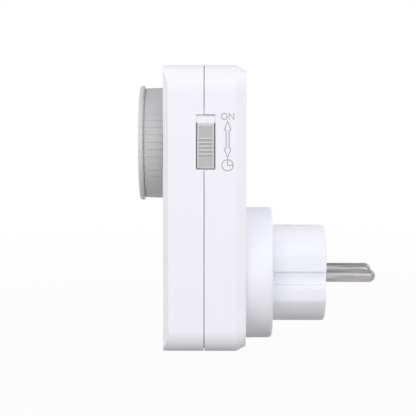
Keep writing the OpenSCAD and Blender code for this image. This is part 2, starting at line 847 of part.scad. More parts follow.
module trip_lever() color("orangered") {
    y0 = lever_front_y;
    y1 = y0 + lever_t;
    pad_z = wedge_z + 0.5;
    top = lever_pivot_z + lever_head;
    half = nose_h / 2;
    difference() {
        union() {
            side_slab(lever_x[0], lever_x[1])
                polygon([[y0, lever_pivot_z - lever_foot], [y1, lever_pivot_z - lever_foot],
                         [y1, nose_z - 0.5], [y1 + drive_out, nose_z - 0.1],
                         [y1 + drive_out, nose_z - 0.1 + drive_h], [y1, nose_z + 0.3 + drive_h], [y1, top],
                         [y0 - cam_edge, top], [y0 - cam_in, top - cam_h], [y0, pad_z]]);
            side_slab(nose_radius - nose_w / 2, nose_radius + nose_w / 2)
                polygon([[y0 + 0.5, nose_z - nose_root_h / 2], [nose_tip_y + nose_len, nose_z - 2 * nose_h],
                         [nose_tip_y + nose_taper, nose_z - half - 0.1], [nose_tip_y, nose_z - half],
                         [nose_tip_y, nose_z + half], [nose_tip_y + nose_taper, nose_z + half + 0.1],
                         [nose_tip_y + nose_len, nose_z + 2 * nose_h], [y0 + 0.5, nose_z + nose_root_h / 2]]);
            translate([lever_x[0], lever_pivot_y, lever_pivot_z]) rotate([0, 90, 0])
                cylinder(r = 2 * lever_pin_r, h = lever_w);
        }
        translate([lever_x[0] - 1, lever_pivot_y, lever_pivot_z]) rotate([0, 90, 0])
            cylinder(r = lever_pin_r + run_gap, h = lever_w + 2);
    }
}

module lever_pin() color("silver") {
    translate([lever_x[0] - lever_pin_over, lever_pivot_y, lever_pivot_z]) rotate([0, 90, 0])
        cylinder(r = lever_pin_r, h = lever_w + 2 * lever_pin_over);
}

// ---------- movement plate ----------

module plate_outline() {
    post_clear = post_r + post_in + plate_side;
    low = dial_rise - plate_low;
    shoulder = housing_rise - post_clear;
    top = inner_top_z - 0.5;
    half = housing_w / 2 - wall - plate_side;
    neck = housing_w / 2 - post_clear;
    step_x = lever_x[1] + ear_w + 0.5;
    step_z = lever_pivot_z - plate_step;
    polygon([[-half, low], [half, low], [half, step_z], [step_x, step_z], [step_x, shoulder],
             [neck, shoulder], [neck, top], [-neck, top], [-neck, shoulder], [-half, shoulder]]);
}

module movement_plate() color("whitesmoke") {
    ear_y1 = lever_pivot_y + lever_pin_r + ear_over;
    difference() {
        union() {
            slab(plate_y, plate_back_y) plate_outline();
            for (x = [lever_x[0] - gap - ear_w, lever_x[1] + gap])
                block([x, plate_back_y - eps, lever_pivot_z - ear_h / 2],
                      [x + ear_w, ear_y1, lever_pivot_z + ear_h / 2]);
            for (s = [-1, 1])
                disc(motor_pad_r, plate_back_y - eps, can_y, [motor_x, motor_z + s * motor_ear]);
        }
        slab(plate_y - 1, plate_back_y + 1)
            translate([lever_x[0] - 0.3, lever_pivot_z - lever_foot - 0.6])
                square([lever_w + 0.6, nose_z - lever_pivot_z + lever_foot + nose_root_h + 0.5]);
        disc(stud_r, plate_y - 1, plate_back_y + 1, [0, dial_rise]);
        disc(idler_stud_r, plate_y - 1, plate_back_y + 1, [idler_x, idler_z]);
        disc(4 * motor_shaft_r, plate_y - 1, plate_back_y + 1, [motor_x, motor_z]);
        for (s = [-1, 1])
            disc(small_r + small_fit, plate_y - 1, can_y + 1, [motor_x, motor_z + s * motor_ear]);
        for (p = plate_posts) disc(small_r + 0.3, plate_y - 1, plate_back_y + 1, p);
        lever_pin();
    }
}

module plate_screws() color("silver") {
    for (p = plate_posts) {
        disc(small_head_r, plate_back_y, plate_back_y + small_head_h, p);
        disc(small_r, plate_back_y - small_len, plate_back_y + eps, p);
    }
}

// ---------- dial ----------

module dial_stud() color("silver") {
    disc(stud_r, front_y - 7.7, plate_back_y + stud_head_t, [0, dial_rise]);
    disc(stud_r + 1, plate_back_y, plate_back_y + stud_head_t, [0, dial_rise]);
}

module dial_clip() color("dimgray") {
    on_dial() translate([0, 0, clip_z]) difference() {
        cylinder(r = stud_r + clip_out, h = clip_t);
        translate([0, 0, -1]) cylinder(r = stud_r, h = 3);
        translate([0, -stud_r / 2, -1]) cube([9, stud_r, 3]);
    }
}

module dial_drum() color("darkgray") {
    top = dial_out - 0.8;
    on_dial() difference() {
        translate([0, 0, drum_back]) cylinder(r = drum_r, h = top - drum_back);
        translate([0, 0, drum_back - 1]) difference() {
            cylinder(r = drum_r - 2.2, h = top - drum_back - 1.6 + 1);
            cylinder(r = hub_r, h = top);
            for (a = [0:60:300]) rotate(a) translate([0, -spoke_w / 2, 1]) cube([drum_r, spoke_w, top]);
        }
        translate([0, 0, drum_back - 1]) cylinder(r = stud_r + run_gap, h = 2 * top);
        translate([0, 0, clip_z - 0.05]) cylinder(r = cap_r + lip_gap, h = top);
        for (k = [0:segments - 1]) rotate(k * 360 / segments)
            translate([guide_floor_r, -guide_w / 2 - guide_gap, drum_back - 1])
                cube([3, guide_w + 2 * guide_gap, top - drum_back + 2]);
    }
}

module dial_gear() color("gainsboro") {
    on_dial() translate([0, 0, gear_back]) difference() {
        linear_extrude(gear_t) polygon(gear_points(dial_teeth, 0));
        translate([0, 0, -1]) cylinder(r = stud_r + run_gap, h = gear_t + 2);
        for (a = [30:60:330]) rotate(a) translate([(dial_teeth * gear_module / 2 + hub_r) / 2, 0, -1])
            cylinder(r = 1.8, h = gear_t + 2);
    }
}

module dial_face() color("white") {
    on_dial() translate([0, 0, dial_out - 0.8]) difference() {
        cylinder(r = drum_r - 0.6, h = face_t);
        translate([0, 0, -1]) cylinder(r = cap_r + lip_gap, h = 3);
    }
}

module dial_cap() color("lightslategray") {
    on_dial() translate([0, 0, cap_z]) {
        cylinder(r = cap_r, h = dial_out - cap_down - cap_z);
        for (a = [90:120:330]) rotate(a) translate([cap_r - 0.9, 0, clip_z + gap - cap_z])
            cylinder(r = 0.6, h = cap_z - clip_z);
    }
}

// One segment at angle 0: lipped head, outer shell, and the guide that ends in its foot.
module tappet() {
    span = 360 / segments - tappet_gap / dial_r * 180 / PI;
    front = dial_out;
    root_r = dial_r + 0.15;
    rotate(-span / 2) rotate_extrude(angle = span)
        polygon([[shell_in_r, shell_back], [root_r, shell_back], [dial_r - 0.1, front - head_t],
                 [lip_r, front - head_t + lip_slope], [lip_r - lip_taper, front - lip_edge],
                 [lip_r - lip_taper - lip_edge, front], [shell_in_r, front]]);
    translate([guide_in_r, -guide_w / 2, foot_back])
        cube([shell_in_r - guide_in_r + 0.3, guide_w, front - 1.4 - foot_back]);
    translate([guide_in_r, -guide_w / 2, foot_back])
        cube([dial_r - 0.5 - guide_in_r, guide_w, shell_back - foot_back + 0.2]);
}

module tappet_at(k) color("silver") {
    on_dial() rotate(k * 360 / segments) tappet();
}

module tappet_set() {
    for (k = [0:segments - 1]) if (k > 5 && k < segments - 6) tappet_at(k);
}

// ---------- gear train and motor ----------

module idler_stud() color("silver") {
    disc(idler_stud_r, front_y - drum_back + gap, plate_back_y + stud_head_t, [idler_x, idler_z]);
    disc(idler_stud_r + 0.4, plate_back_y, plate_back_y + stud_head_t, [idler_x, idler_z]);
}

module gear_body(teeth, phase, z0, z1, at) {
    translate([at[0], front_y, at[1]]) rotate([90, 0, 0])
        translate([0, 0, z0]) linear_extrude(z1 - z0) polygon(gear_points(teeth, phase));
}

module idler_gear() color("white") {
    at = [idler_x, idler_z];
    difference() {
        union() {
            gear_body(pinion_teeth, idler_phase, wheel_front, drum_back - gap, at);
            gear_body(wheel_teeth, idler_phase, wheel_front - wheel_t, wheel_front + eps, at);
        }
        disc(idler_stud_r + run_gap, front_y, plate_y, at);
    }
}

module motor_pinion() color("gold") {
    at = [motor_x, motor_z];
    gear_body(pinion_teeth, motor_phase, wheel_front - wheel_t - 0.3, wheel_front + 0.3, at);
    disc(motor_shaft_r, front_y + 6, can_y + 1.5, at);
}

module motor_front() color("silver") {
    back = can_y + motor_front_t;
    difference() {
        union() {
            disc(can_r, can_y, back, [motor_x, motor_z]);
            for (s = [-1, 1]) {
                disc(motor_ear_r, can_y, back, [motor_x, motor_z + s * motor_ear]);
                block([motor_x - motor_ear_r, can_y, motor_z + min(s * (can_r - 2), s * motor_ear)],
                      [motor_x + motor_ear_r, back, motor_z + max(s * (can_r - 2), s * motor_ear)]);
            }
        }
        disc(motor_shaft_r + run_gap, can_y - 1, can_y + 2, [motor_x, motor_z]);
        for (s = [-1, 1])
            disc(small_r + gap, can_y - 1, can_y + 2, [motor_x, motor_z + s * motor_ear]);
    }
}

module motor_can() color("silver") {
    difference() {
        disc(can_r, can_y + motor_front_t, can_y + can_len, [motor_x, motor_z]);
        disc(motor_shaft_r + run_gap, can_y, can_y + 1.7, [motor_x, motor_z]);
    }
}

module motor_screws() color("silver") {
    seat = can_y + motor_front_t;
    for (s = [-1, 1]) {
        disc(small_head_r, seat, seat + small_head_h, [motor_x, motor_z + s * motor_ear]);
        disc(small_r, plate_y + gap, seat + eps, [motor_x, motor_z + s * motor_ear]);
    }
}

front_cover();
rear_cover();
plug_body();
housing_screws();
live_pin();
neutral_pin();
socket_insert();
shutter();
shutter_spring();
contact_carrier();
live_socket_contact();
neutral_socket_contact();
earth_strap();
live_bar();
neutral_bar();
load_bar();
fixed_contact();
contact_arm();
trip_lever();
lever_pin();
switch_knob();
switch_carriage();
movement_plate();
plate_screws();
dial_stud();
dial_drum();
dial_gear();
dial_face();
dial_cap();
dial_clip();
idler_stud();
idler_gear();
motor_front();
motor_can();
motor_screws();
motor_pinion();
tappet_set();
for (k = [1:12]) tappet_at(k - 7);
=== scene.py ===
"""Dressed model of a plug-in timer switch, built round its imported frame.

Metres throughout. +Z is up, the dial faces -Y, the plug's pins point to +Y and
the slide switch is on the +X side. The origin is the centre of the plug's end face.
"""

import json
import logging
import math
from collections.abc import Callable, Sequence
from dataclasses import dataclass
from enum import Enum

import bmesh
import bpy
from mathutils import Matrix, Vector


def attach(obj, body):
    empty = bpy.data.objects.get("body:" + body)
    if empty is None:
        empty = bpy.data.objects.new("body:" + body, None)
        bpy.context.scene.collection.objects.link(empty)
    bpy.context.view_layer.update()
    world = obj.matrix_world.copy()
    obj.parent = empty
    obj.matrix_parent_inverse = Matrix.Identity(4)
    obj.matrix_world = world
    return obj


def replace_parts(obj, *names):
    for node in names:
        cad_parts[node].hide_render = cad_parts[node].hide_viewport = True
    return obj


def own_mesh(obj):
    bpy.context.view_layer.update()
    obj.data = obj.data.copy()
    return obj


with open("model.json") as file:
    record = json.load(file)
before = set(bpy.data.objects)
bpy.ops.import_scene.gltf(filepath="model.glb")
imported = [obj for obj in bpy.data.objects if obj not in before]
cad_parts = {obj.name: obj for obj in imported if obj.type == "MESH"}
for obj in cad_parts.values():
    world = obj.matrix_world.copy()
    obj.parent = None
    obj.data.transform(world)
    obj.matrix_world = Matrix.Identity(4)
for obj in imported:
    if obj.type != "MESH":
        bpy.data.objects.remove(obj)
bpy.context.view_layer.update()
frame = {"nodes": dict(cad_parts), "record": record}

log = logging.getLogger("timer_switch")

MM = 0.001

# Distances in metres within which points are one, on a line, or at a place.
SAME_POINT = 1e-7
ON_LINE = 1e-6
AT_PLACE = 1e-5

# An edge is a crease from the first angle on; faces are one flat up to the second.
CREASE = math.radians(32)
FLAT = math.radians(0.5)

# Where most of a noise's values lie, and how finishes use them.
NOISE_SPAN = (0.3, 0.7)
SMUDGE = 2.5 * MM
GLOSS_SPREAD = (-0.04, 0.05)

# Facets of a widely rounded edge, and the least share of width at a line's corner.
ROLL_FACETS = 6
LEAST_MITRE = 0.45

# How far ink reaches into its surface in millimetres, and a figure's share of its type size.
INK_ROOT = 0.03
FIGURE_SHARE = 0.7

Point = tuple[float, float]
Color = tuple[float, float, float]
Node = bpy.types.ShaderNode
Socket = bpy.types.NodeSocket
Placing = Callable[[float, float, float], Vector]


class Lay(Enum):
    """Direction of the fine marks that making leaves on a surface."""

    EVEN = (1.0, 1.0, 1.0)
    ALONG_Y = (1.0, 0.04, 1.0)
    ALONG_Z = (1.0, 1.0, 0.04)
    ACROSS_Y = (0.06, 1.0, 0.06)


class Shader:
    """A node material while it is put together, with coordinates in metres."""

    def __init__(self, name: str) -> None:
        """Starts a material that holds one Principled surface.

        Args:
            name: Name of the material.
        """
        self.material = bpy.data.materials.new(name)
        self.material.use_nodes = True
        self.tree = self.material.node_tree
        self.surface = self.tree.nodes["Principled BSDF"]
        self.place = self.add("ShaderNodeTexCoord").outputs["Object"]

    def add(self, kind: str, **settings: object) -> Node:
        """Adds a node.

        Args:
            kind: Blender's name for the node's type.
            **settings: Properties of the node.

        Returns:
            The new node.
        """
        node = self.tree.nodes.new(kind)
        for key, value in settings.items():
            setattr(node, key, value)
        return node

    def noise(self, size: float, lay: Lay = Lay.EVEN, detail: float = 3.0) -> Socket:
        """Adds a noise whose features are about as wide as the size given.

        Args:
            size: Width of a feature in metres.
            lay: Direction along which the features are drawn out.
            detail: Number of finer octaves.

        Returns:
            The noise's value, from 0 to 1.
        """
        mapping = self.add("ShaderNodeMapping")
        mapping.inputs["Scale"].default_value = [part / size for part in lay.value]
        noise = self.add("ShaderNodeTexNoise")
        noise.inputs["Scale"].default_value = 1.0
        noise.inputs["Detail"].default_value = detail
        self.tree.links.new(self.place, mapping.inputs["Vector"])
        self.tree.links.new(mapping.outputs["Vector"], noise.inputs["Vector"])
        return noise.outputs["Fac"]

    def tint(self, value: Socket, dark: Color, light: Color) -> None:
        """Colours the surface between two colours by a value from 0 to 1."""
        ramp = self.add("ShaderNodeValToRGB")
        ramp.color_ramp.elements[0].position = NOISE_SPAN[0]
        ramp.color_ramp.elements[1].position = NOISE_SPAN[1]
        ramp.color_ramp.elements[0].color = (*dark, 1.0)
        ramp.color_ramp.elements[1].color = (*light, 1.0)
        self.tree.links.new(value, ramp.inputs["Fac"])
        self.tree.links.new(ramp.outputs["Color"], self.surface.inputs["Base Color"])

    def gloss(self, value: Socket, low: float, high: float) -> None:
        """Lets the roughness run between two levels by a value from 0 to 1."""
        span = self.add("ShaderNodeMapRange")
        span.inputs["From Min"].default_value = NOISE_SPAN[0]
        span.inputs["From Max"].default_value = NOISE_SPAN[1]
        span.inputs["To Min"].default_value = low
        span.inputs["To Max"].default_value = high
        self.tree.links.new(value, span.inputs["Value"])
        self.tree.links.new(span.outputs["Result"], self.surface.inputs["Roughness"])

    def relief(self, value: Socket, depth: float) -> None:
        """Raises the surface by a value from 0 to 1 times a depth in metres."""
        bump = self.add("ShaderNodeBump")
        bump.inputs["Strength"].default_value = 1.0
        bump.inputs["Distance"].default_value = depth
        self.tree.links.new(value, bump.inputs["Height"])
        self.tree.links.new(bump.outputs["Normal"], self.surface.inputs["Normal"])


def shade(color: Color, factor: float) -> Color:
    """Returns a colour made darker or lighter by a factor."""
    red, green, blue = (min(1.0, part * factor) for part in color)
    return red, green, blue


@dataclass(frozen=True)
class Finish:
    """What every finish has: its slot in the record, its colour and its grain.

    A patch is how wide the uneven places in the colour are. Patches finer than a
    millimetre follow the lay of the surface.
    """

    slot: str
    color: Color
    roughness: float
    grain: float = 0.25 * MM
    depth: float = 0.004 * MM
    mottle: float = 0.015
    lay: Lay = Lay.EVEN
    patch: float = 9 * MM

    def shader(self) -> Shader:
        """Builds the colour, gloss and relief that all finishes share.

        Returns:
            The shader, ready for the settings of one kind of material.
        """
        made = Shader(self.slot)
        streaked = self.patch < MM
        patches = made.noise(self.patch, self.lay if streaked else Lay.EVEN)
        made.tint(patches, shade(self.color, 1 - self.mottle), self.color)
        low, high = (self.roughness + part for part in GLOSS_SPREAD)
        made.gloss(made.noise(SMUDGE, self.lay), low, high)
        made.relief(made.noise(self.grain, self.lay, 2.0), self.depth)
        return made

    def build(self) -> bpy.types.Material:
        """Returns the finished material."""
        return self.shader().material


@dataclass(frozen=True)
class Plastic(Finish):
    """Moulded plastic with a fine spark-eroded texture and a trace of depth."""

    glow: float = 0.0

    def build(self) -> bpy.types.Material:
        """Returns the plastic, which lets a little light in where glow is set."""
        made = self.shader()
        made.surface.inputs["IOR"].default_value = 1.5
        if self.glow:
            made.surface.inputs["Subsurface Weight"].default_value = self.glow
            made.surface.inputs["Subsurface Scale"].default_value = 0.6 * MM
            made.surface.inputs["Subsurface Radius"].default_value = (1.0, 0.9, 0.8)
        return made.material


@dataclass(frozen=True)
class Metal(Finish):
    """Bare or plated metal with the marks of rolling, drawing or turning."""

    def build(self) -> bpy.types.Material:
        """Returns the metal."""
        made = self.shader()
        made.surface.inputs["Metallic"].default_value = 1.0
        return made.material


@dataclass(frozen=True)
class Ink(Finish):
    """Thin printed ink, a little uneven in its cover."""

    def build(self) -> bpy.types.Material:
        """Returns the ink."""
        made = self.shader()
        made.surface.inputs["Specular IOR Level"].default_value = 0.3
        return made.material


SHELL = Plastic("shell", (0.85, 0.853, 0.925), 0.42, mottle=0.01, glow=0.04)
INSERT = Plastic("insert", (0.85, 0.853, 0.915), 0.45, mottle=0.01, glow=0.04)
INNER = Plastic("inner_white", (0.78, 0.78, 0.75), 0.5, glow=0.05)
SEGMENT = Plastic("tappet", (0.525, 0.53, 0.54), 0.42, grain=0.2 * MM, mottle=0.04)
# Painted highlight: a lighter copy of the segments' plastic for their front lips, standing in for
# the light the rounded lips catch.
SEGMENT_LIP_PAINTED_HIGHLIGHT = Plastic("tappet", (0.62, 0.625, 0.632), 0.36, grain=0.2 * MM, mottle=0.03)
DRUM = Plastic("drum", (0.34, 0.345, 0.355), 0.48, mottle=0.04)
FACE = Plastic("face", (0.88, 0.88, 0.88), 0.55, grain=0.15 * MM, depth=0.002 * MM)
KNOB = Plastic("knob", (0.47, 0.475, 0.485), 0.45, grain=0.2 * MM, mottle=0.04)
# Painted highlight: a lighter copy of the knob's plastic for its rim and rib tops, standing in for
# the light their edges catch.
KNOB_RIM_PAINTED_HIGHLIGHT = Plastic("knob", (0.61, 0.615, 0.625), 0.38, grain=0.2 * MM, mottle=0.03)
GEAR = Plastic("gear", (0.84, 0.83, 0.77), 0.4, glow=0.12)
LEVER = Plastic("lever", (0.72, 0.20, 0.06), 0.42)
PIN = Metal("pin", (0.57, 0.545, 0.555), 0.36, 0.25 * MM, 0.02 * MM, 0.55, Lay.ALONG_Y, 0.6 * MM)
BRASS = Metal("contact_brass", (0.80, 0.61, 0.32), 0.3, 0.1 * MM, 0.002 * MM, 0.12, Lay.ALONG_Z)
SILVER = Metal("silver", (0.86, 0.85, 0.83), 0.32, 0.08 * MM, 0.001 * MM, 0.05)
STEEL = Metal("steel", (0.62, 0.63, 0.64), 0.3, 0.1 * MM, 0.002 * MM, 0.1, Lay.ACROSS_Y)
CAN = Metal("can", (0.68, 0.68, 0.69), 0.34, 0.15 * MM, 0.003 * MM, 0.08, Lay.ALONG_Y)
PINION = Metal("pinion", (0.82, 0.65, 0.36), 0.26, 0.08 * MM, 0.001 * MM, 0.06, Lay.ALONG_Y)
GREY_INK = Ink("shell", (0.40, 0.41, 0.45), 0.6, 0.3 * MM, 0.001 * MM, 0.12)
BLACK_INK = Ink("face", (0.03, 0.03, 0.035), 0.5, 0.2 * MM, 0.001 * MM, 0.3)
WHITE_INK = Ink("knob", (0.85, 0.85, 0.86), 0.5, 0.2 * MM, 0.001 * MM, 0.05)


class Paints:
    """Builds each finish's material once and hands it out."""

    made: dict[Finish, bpy.types.Material] = {}

    @classmethod
    def of(cls, finish: Finish) -> bpy.types.Material:
        """Returns the material of a finish."""
        if finish not in cls.made:
            cls.made[finish] = finish.build()
        return cls.made[finish]


def side_plane(face: float) -> Placing:
    """Returns the placing of drawings on a wall that looks to +X.

    Args:
        face: The wall's X.

    Returns:
        A function from along Y, up Z and out of the wall to a point.
    """
    return lambda across, up, out: Vector((face + out, across, up))


def front_plane(face: float, up_from: float) -> Placing:
    """Returns the placing of drawings on a face that looks to -Y.

    Args:
        face: The face's Y.
        up_from: Z of the drawing's own zero.

    Returns:
        A function from along X, up Z and out of the face to a point.
    """
    return lambda across, up, out: Vector((across, face - out, up_from + up))


def mesh_object(name: str, bm: bmesh.types.BMesh) -> bpy.types.Object:
    """Turns a bmesh into an object in the scene.

    Args:
        name: Name of the object.
        bm: The bmesh, which is freed.

    Returns:
        The object.
    """
    bmesh.ops.recalc_face_normals(bm, faces=bm.faces)
    mesh = bpy.data.meshes.new(name)
    bm.to_mesh(mesh)
    bm.free()
    made = bpy.data.objects.new(name, mesh)
    bpy.context.scene.collection.objects.link(made)
    return made


@dataclass(frozen=True)
class Edging:
    """Edges at one place that take their own share of a solid's rounding.

    A place is a distance from the middle along X, and a coordinate along Y and Z,
    in millimetres. The edges lie at all the places that are given. A share above 1
    makes them rounder than the rest.
    """

    share: float
    x: float | None = None
    y: float | None = None
    z: float | None = None

    def holds(self, edge: bmesh.types.BMEdge) -> bool:
        """Tells whether an edge lies at the place."""
        for vert in edge.verts:
            spot = (abs(vert.co.x), vert.co.y, vert.co.z)
            for value, place in zip(spot, (self.x, self.y, self.z)):
                if place is not None and abs(value - place * MM) > AT_PLACE:
                    return False
        return True


@dataclass(frozen=True)
class Dress:
    """How one solid is dressed: its node, finish, edge radius in mm and facets.

    Its flat faces are joined before the edges are rounded where joined is set, and
    otherwise stay in triangles.
    """

    node: str
    finish: Finish
    edge: float
    segments: int = 2
    edgings: tuple[Edging, ...] = ()
    joined: bool = True


def smooth(made: bpy.types.Object) -> None:
    """Shades an object smooth, apart from its creases."""
    made.data.polygons.foreach_set("use_smooth", [True] * len(made.data.polygons))
    made.data.set_sharp_from_angle(angle=CREASE)


def weigh_edges(bm: bmesh.types.BMesh, edgings: Sequence[Edging] = ()) -> None:
    """Marks the edges that are rounded, each with its share of the rounding.

    Args:
        bm: The mesh.
        edgings: The edges that take a share of their own.
    """
    weight = bm.edges.layers.float.new("bevel_weight_edge")
    for edge in bm.edges:
        if not edge.is_manifold or edge.calc_face_angle() < CREASE:
            continue
        edge[weight] = next((item.share for item in edgings if item.holds(edge)), 1.0)


def rounded(made: bpy.types.Object, edge: float, segments: int) -> bpy.types.Object:
    """Shades an object smooth and rounds its weighted edges.

    Args:
        made: The object.
        edge: Radius of the edges in metres.
        segments: Number of facets across a rounded edge.

    Returns:
        The same object.
    """
    smooth(made)
    round_edges = made.modifiers.new("round_edges", "BEVEL")
    round_edges.width = edge
    round_edges.segments = segments
    round_edges.limit_method = "WEIGHT"
    round_edges.miter_outer = "MITER_ARC"
    even_shade = made.modifiers.new("even_shade", "WEIGHTED_NORMAL")
    even_shade.keep_sharp = True
    split_faces = made.modifiers.new("split_faces", "TRIANGULATE")
    split_faces.min_vertices = 5
    split_faces.keep_custom_normals = True
    return made


def solid_mesh(item: Dress) -> bmesh.types.BMesh:
    """Copies a solid's mesh.

    Args:
        item: The solid, and whether its flat faces are joined.

    Returns:
        A new bmesh.
    """
    bm = bmesh.new()
    bm.from_mesh(frame["nodes"][item.node].data)
    bmesh.ops.remove_doubles(bm, verts=bm.verts, dist=SAME_POINT)
    if item.joined:
        bmesh.ops.dissolve_limit(bm, angle_limit=FLAT, verts=bm.verts, edges=bm.edges)
    return bm


def spread(bm: bmesh.types.BMesh, axis_z: float, count: int, share: float) -> None:
    """Widens the segments of a ring about their own middles.

    Args:
        bm: The segments' mesh, on an axis along Y.
        axis_z: Height of the axis in metres.
        count: Number of places round the ring.
        share: How much wider each segment gets.
    """
    pitch = 2 * math.pi / count
    for vert in bm.verts:
        radius = math.hypot(vert.co.x, vert.co.z - axis_z)
        angle = math.atan2(vert.co.z - axis_z, vert.co.x)
        middle = round(angle / pitch) * pitch
        angle = middle + (angle - middle) * share
        vert.co.x, vert.co.z = radius * math.cos(angle), axis_z + radius * math.sin(angle)


def grooved(bm: bmesh.types.BMesh, axis_z: float, start: float, width: float,
            depth: float, outside: float) -> None:
    """Cuts a V-shaped groove round the outside of a ring.

    Args:
        bm: The ring's mesh, on an axis along Y.
        axis_z: Height of the axis in metres.
        start: The groove's edge nearer to the front, along Y.
        width: Width of the groove.
        depth: Depth of the groove.
        outside: Radius beyond which a point lies on the ring's outside.
    """
    for share in (0.5, 1.0):
        bmesh.ops.bisect_plane(bm, geom=[*bm.verts, *bm.edges, *bm.faces], dist=SAME_POINT,
                               plane_co=(0.0, start + share * width, 0.0), plane_no=(0.0, 1.0, 0.0))
    for vert in bm.verts:
        radius = math.hypot(vert.co.x, vert.co.z - axis_z)
        if abs(vert.co.y - start - width / 2) < ON_LINE and radius > outside:
            share = (radius - depth) / radius
            vert.co.x, vert.co.z = vert.co.x * share, axis_z + (vert.co.z - axis_z) * share


def stepped(lines: tuple[Sequence[float], Sequence[float], Sequence[float]],
            filled: Callable[[float, float, float], bool]) -> bmesh.types.BMesh:
    """Builds a closed body of steps and grooves on a grid of lines.

    Args:
        lines: The grid's lines along X, Y and Z in millimetres.
        filled: Tells whether the body holds a point.

    Returns:
        A new bmesh with one face for each open side of a filled cell.
    """
    bm = bmesh.new()
    spans = [list(zip(row, row[1:])) for row in lines]
    full = {(i, j, k)
            for i, (x0, x1) in enumerate(spans[0])
            for j, (y0, y1) in enumerate(spans[1])
            for k, (z0, z1) in enumerate(spans[2])
            if filled((x0 + x1) / 2, (y0 + y1) / 2, (z0 + z1) / 2)}
    corners: dict[tuple[int, int, int], bmesh.types.BMVert] = {}
    for cell in full:
        for axis in range(3):
            for side in (0, 1):
                beside = list(cell)
                beside[axis] += 2 * side - 1
                if tuple(beside) in full:
                    continue
                ring = []
                for a, b in ((0, 0), (1, 0), (1, 1), (0, 1)):
                    at = list(cell)
                    at[axis] += side
                    at[(axis + 1) % 3] += a
                    at[(axis + 2) % 3] += b
                    key = (at[0], at[1], at[2])
                    if key not in corners:
                        spot = [lines[n][key[n]] * MM for n in range(3)]
                        corners[key] = bm.verts.new(spot)
                    ring.append(corners[key])
                bm.faces.new(ring)
    return bm


def roll_edges(bm: bmesh.types.BMesh, item: Dress) -> None:
    """Rounds the edges that are rounder than the rest of a solid's.

    Args:
        bm: The solid's mesh.
        item: The solid and how it is finished.
    """
    for edging in item.edgings:
        if edging.share > 1:
            held = [edge for edge in bm.edges if edging.holds(edge)]
            bmesh.ops.bevel(bm, geom=held, offset=edging.share * item.edge * MM,
                            segments=ROLL_FACETS, profile=0.5, affect="EDGES",
                            clamp_overlap=True)


def softened(name: str, item: Dress) -> bpy.types.Object:
    """Builds a piece on a solid's surface, with its edges rounded.

    Args:
        name: Name of the piece.
        item: The solid and how it is finished.

    Returns:
        The piece.
    """
    bm = solid_mesh(item)
    roll_edges(bm, item)
    weigh_edges(bm, item.edgings)
    return rounded(mesh_object(name, bm), item.edge * MM, item.segments)


def ribbon(bm: bmesh.types.BMesh, path: Sequence[Point], width: float, closed: bool,
           place: Placing, rise: float) -> None:
    """Adds a flat raised line that follows a path.

    Args:
        bm: The bmesh that takes the line.
        path: The line's middle, in millimetres.
        width: The line's width in millimetres.
        closed: True where the last point joins the first.
        place: Puts a point of the drawing, in metres, on its surface.
        rise: How far the line stands out of the surface in millimetres.
    """
    points = [Vector(p) for p in path]
    count = len(points)
    sides = []
    for i, here in enumerate(points):
        before = points[i - 1] if closed or i else here - (points[1] - here)
        after = points[(i + 1) % count] if closed or i < count - 1 else here + (here - before)
        first, second = (here - before).normalized(), (after - here).normalized()
        along = (first + second).normalized()
        normal = Vector((-along.y, along.x))
        reach = width / 2 / max(LEAST_MITRE, normal.dot(Vector((-first.y, first.x))))
        sides.append([here + normal * reach, here - normal * reach])
    rings = []
    for left, right in sides:
        corners = [(left, -INK_ROOT), (right, -INK_ROOT), (right, rise), (left, rise)]
        rings.append([bm.verts.new(place(p.x * MM, p.y * MM, out * MM)) for p, out in corners])
    last = count if closed else count - 1
    for i in range(last):
        a, b = rings[i], rings[(i + 1) % count]
        for j in range(4):
            bm.faces.new([a[j], a[(j + 1) % 4], b[(j + 1) % 4], b[j]])
    if not closed:
        bm.faces.new(rings[0])
        bm.faces.new(list(reversed(rings[-1])))


def prism(bm: bmesh.types.BMesh, corners: Sequence[Point | Vector], place: Placing,
          depth: float) -> None:
    """Adds a flat printed shape that reaches as far into its surface as out of it.

    Args:
        bm: The bmesh that takes the shape.
        corners: The shape's corners, in millimetres.
        place: Puts a point of the drawing, in metres, on its surface.
        depth: How far the shape stands out of the surface in millimetres.
    """
    low = [bm.verts.new(place(across * MM, up * MM, -depth * MM)) for across, up in corners]
    high = [bm.verts.new(place(across * MM, up * MM, depth * MM)) for across, up in corners]
    bm.faces.new(low)
    bm.faces.new(high)
    count = len(low)
    for i in range(count):
        j = (i + 1) % count
        bm.faces.new([low[i], low[j], high[j], high[i]])


def ring_path(x: float, y: float, radius_x: float, radius_y: float, count: int) -> list[Point]:
    """Returns points round an ellipse.

    Args:
        x: The centre across.
        y: The centre up.
        radius_x: Half width.
        radius_y: Half height.
        count: Number of points.

    Returns:
        The points.
    """
    turns = [2 * math.pi * i / count for i in range(count)]
    return [(x + radius_x * math.cos(a), y + radius_y * math.sin(a)) for a in turns]


def numeral(text: str, height: float) -> bmesh.types.BMesh:
    """Draws a number lying in the XY plane, centred, as a flat mesh.

    Args:
        text: The number.
        height: Height of its figures in metres.

    Returns:
        A new bmesh.
    """
    curve = bpy.data.curves.new("numeral", "FONT")
    curve.body = text
    curve.size = height / FIGURE_SHARE
    curve.align_x = "CENTER"
    curve.align_y = "CENTER"
    curve.extrude = INK_ROOT * MM
    holder = bpy.data.objects.new("numeral", curve)
    bpy.context.scene.collection.objects.link(holder)
    graph = bpy.context.evaluated_depsgraph_get()
    mesh = bpy.data.meshes.new_from_object(holder.evaluated_get(graph))
    bm = bmesh.new()
    bm.from_mesh(mesh)
    bpy.data.meshes.remove(mesh)
    bpy.data.objects.remove(holder)
    bpy.data.curves.remove(curve)
    return bm


